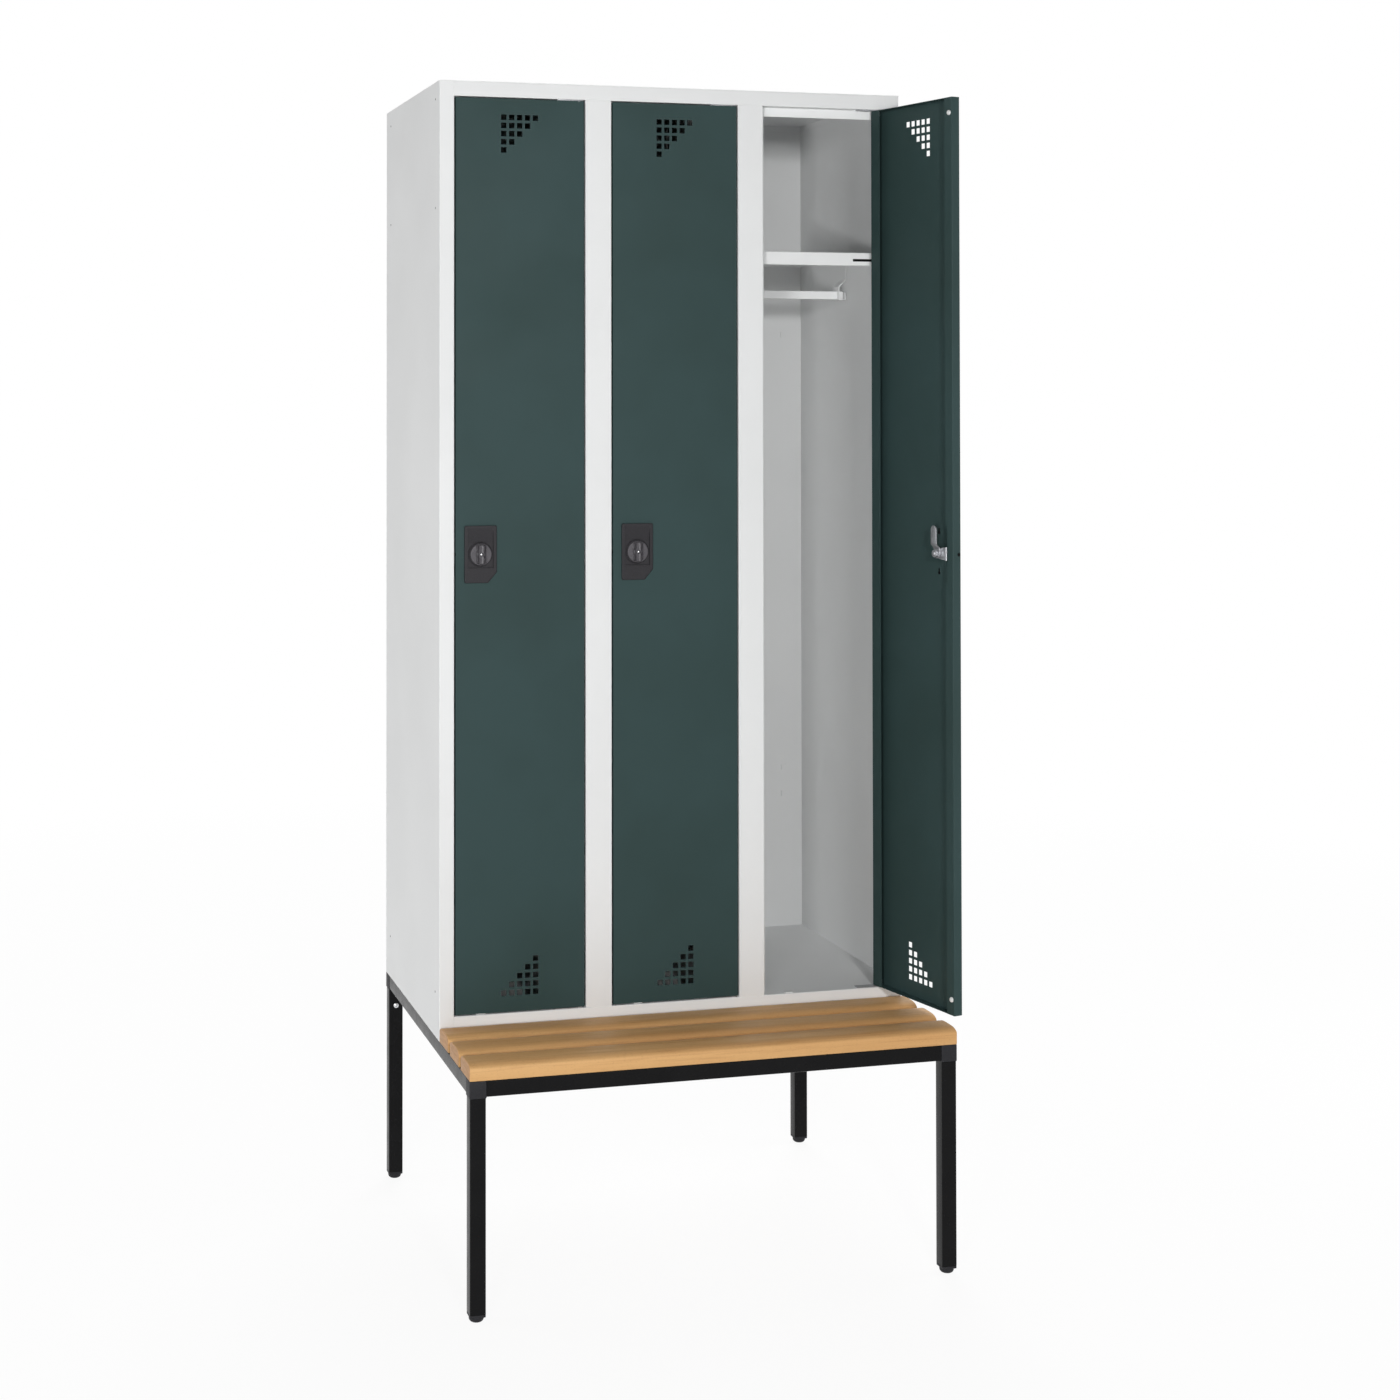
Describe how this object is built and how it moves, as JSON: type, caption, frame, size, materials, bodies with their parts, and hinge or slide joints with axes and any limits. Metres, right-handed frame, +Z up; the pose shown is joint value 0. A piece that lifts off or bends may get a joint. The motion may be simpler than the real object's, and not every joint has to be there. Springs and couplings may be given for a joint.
{
  "type": "clothes locker with bench",
  "caption": "Tall sheet-steel clothes locker with side-by-side compartments, each with a hinged vented door, twist lock, hat shelf and rail, standing on a tube frame with a slatted bench seat.",
  "frame": {"origin": "on the floor, under the centre of the bounding box with the right door standing open as pictured", "axes": "+Z up, +Y towards the back, +X to the right seen from the front; the doors and the seat face -Y"},
  "size_m": [0.924, 0.74, 2.15],
  "materials": {
    "light_grey": "satin powder coat",
    "dark_green": "satin powder coat",
    "frame_black": "satin powder coat",
    "dark_plastic": "matte",
    "lock_black": "fine grain",
    "knob_grey": "satin",
    "zinc": "zinc plated",
    "beech": "clear lacquer"
  },
  "bodies": {
    "cabinet": {"side_panel_left": "light_grey", "side_panel_right": "light_grey", "partition_left": "light_grey", "partition_right": "light_grey", "middle_post_left": "light_grey", "middle_post_right": "light_grey", "back_panel": "light_grey", "top_panel": "light_grey", "top_rail": "light_grey", "floor_tray": "light_grey", "hat_shelf_1": "light_grey", "hat_shelf_2": "light_grey", "hat_shelf_3": "light_grey", "clothes_rail_1": "light_grey", "clothes_rail_2": "light_grey", "clothes_rail_3": "light_grey", "hinge_upper_1": "zinc", "hinge_upper_2": "zinc", "hinge_upper_3": "zinc", "hinge_lower_1": "zinc", "hinge_lower_2": "zinc", "hinge_lower_3": "zinc", "bench_tube_front": "frame_black", "bench_tube_back": "frame_black", "bench_tube_left": "frame_black", "bench_tube_right": "frame_black", "leg_front_left": "frame_black", "leg_front_right": "frame_black", "leg_back_left": "frame_black", "leg_back_right": "frame_black", "connector_front_left": "dark_plastic", "connector_front_right": "dark_plastic", "connector_back_left": "dark_plastic", "connector_back_right": "dark_plastic", "foot_glide_front_left": "dark_plastic", "foot_glide_front_right": "dark_plastic", "foot_glide_back_left": "dark_plastic", "foot_glide_back_right": "dark_plastic", "seat_slat_front": "beech", "seat_slat_middle": "beech", "seat_slat_rear": "beech"},
    "door_1": {"door_1_panel": "dark_green", "door_1_lock_plate": "lock_black", "door_1_lock_bracket": "zinc"},
    "door_2": {"door_2_panel": "dark_green", "door_2_lock_plate": "lock_black", "door_2_lock_bracket": "zinc"},
    "door_3": {"door_3_panel": "dark_green", "door_3_lock_plate": "lock_black", "door_3_lock_bracket": "zinc"},
    "latch_1": {"latch_1_knob": "knob_grey", "latch_1_arm": "zinc", "latch_1_nut": "zinc"},
    "latch_2": {"latch_2_knob": "knob_grey", "latch_2_arm": "zinc", "latch_2_nut": "zinc"},
    "latch_3": {"latch_3_knob": "knob_grey", "latch_3_arm": "zinc", "latch_3_nut": "zinc"}
  },
  "joints": [
    {"name": "door_1_hinge", "type": "hinge", "parent": "cabinet", "child": "door_1", "pos_m": [-0.19764, -0.1235, 1.2875], "axis": [0, 0, 1], "range_deg": [0, 110]},
    {"name": "door_2_hinge", "type": "hinge", "parent": "cabinet", "child": "door_2", "pos_m": [0.10069, -0.1235, 1.2875], "axis": [0, 0, 1], "range_deg": [0, 110]},
    {"name": "door_3_hinge", "type": "hinge", "parent": "cabinet", "child": "door_3", "pos_m": [0.39903, -0.1235, 1.2875], "axis": [0, 0, 1], "range_deg": [-103, 7]},
    {"name": "latch_1_turn", "type": "hinge", "parent": "door_1", "child": "latch_1", "pos_m": [-0.38597, -0.13, 1.2875], "axis": [0, -1, 0], "range_deg": [0, 90]},
    {"name": "latch_2_turn", "type": "hinge", "parent": "door_2", "child": "latch_2", "pos_m": [-0.08764, -0.13, 1.2875], "axis": [0, -1, 0], "range_deg": [0, 90]},
    {"name": "latch_3_turn", "type": "hinge", "parent": "door_3", "child": "latch_3", "pos_m": [0.44772, -0.30554, 1.2875], "axis": [0.9744, 0.225, 0], "range_deg": [0, 90]}
  ]
}
